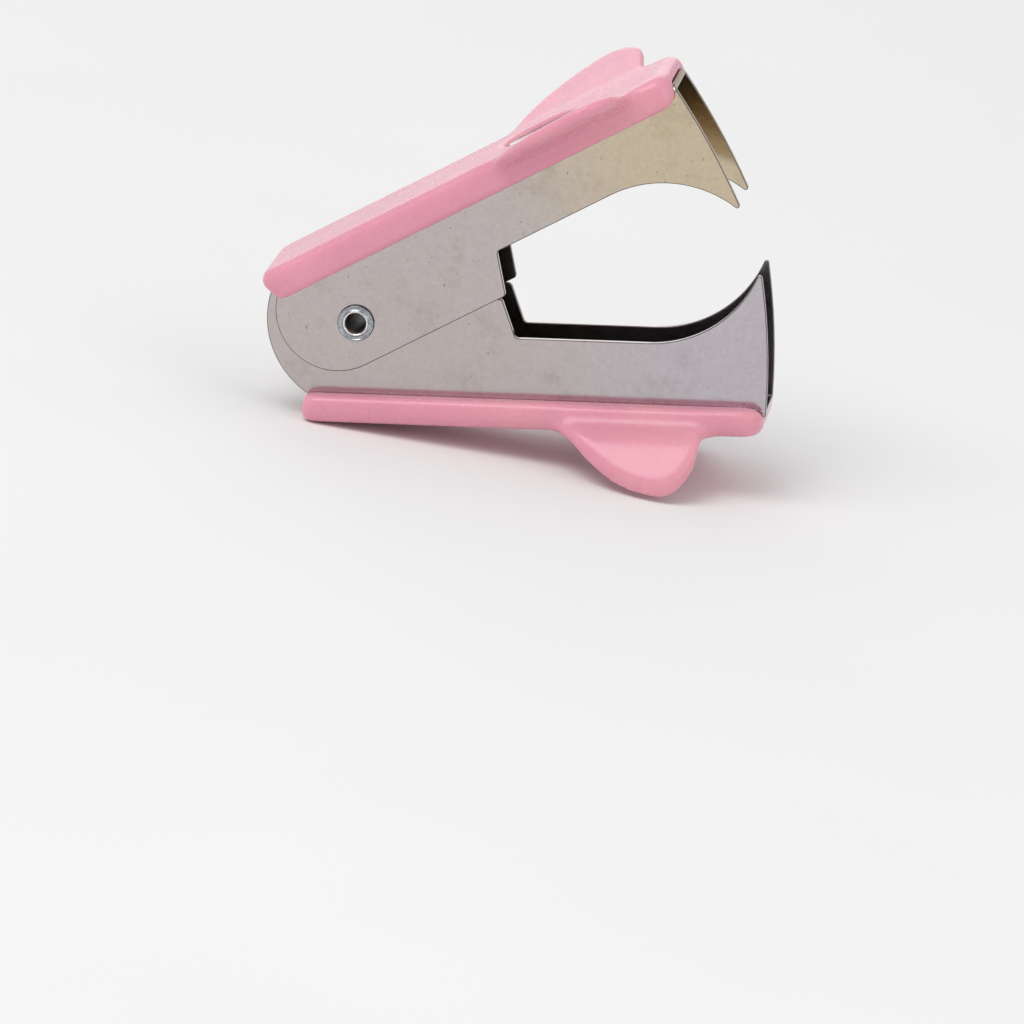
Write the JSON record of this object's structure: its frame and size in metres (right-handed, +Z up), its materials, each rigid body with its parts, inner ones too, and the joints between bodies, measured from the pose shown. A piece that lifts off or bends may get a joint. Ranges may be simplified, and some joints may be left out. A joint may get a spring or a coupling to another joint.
{
  "type": "staple remover",
  "caption": "Hand-held claw staple remover: two hinged steel channel jaws with hooked tips, held open by a torsion spring, each in a moulded finger grip.",
  "frame": {"origin": "middle of the hollow rivet's bore, on the pivot axis", "axes": "+X towards the claws, +Y along the pivot axis across the tool, +Z up as the tool stands on its lower grip"},
  "size_m": [0.0623, 0.0372, 0.0494],
  "materials": {
    "nickel_plated_steel": "bright nickel plating on pressed sheet, faintly smudged",
    "rivet_steel": "bright nickel plating, rolled rims",
    "spring_wire": "drawn wire, dull bright",
    "pink_plastic": "satin, slightly translucent moulding"
  },
  "bodies": {
    "lower_arm": {"lower_jaw": "nickel_plated_steel", "lower_grip": "pink_plastic", "torsion_spring": "spring_wire"},
    "upper_arm": {"upper_jaw": "nickel_plated_steel", "upper_grip": "pink_plastic", "pivot_rivet": "rivet_steel"}
  },
  "joints": [
    {"name": "jaw_hinge", "type": "hinge", "parent": "lower_arm", "child": "upper_arm", "pos_m": [0, 0, 0], "axis": [0, 1, 0], "range_deg": [0, 27], "stiffness_Nm_per_rad": 0.25, "springref_deg": -34.38, "deforming": ["torsion_spring"]}
  ]
}
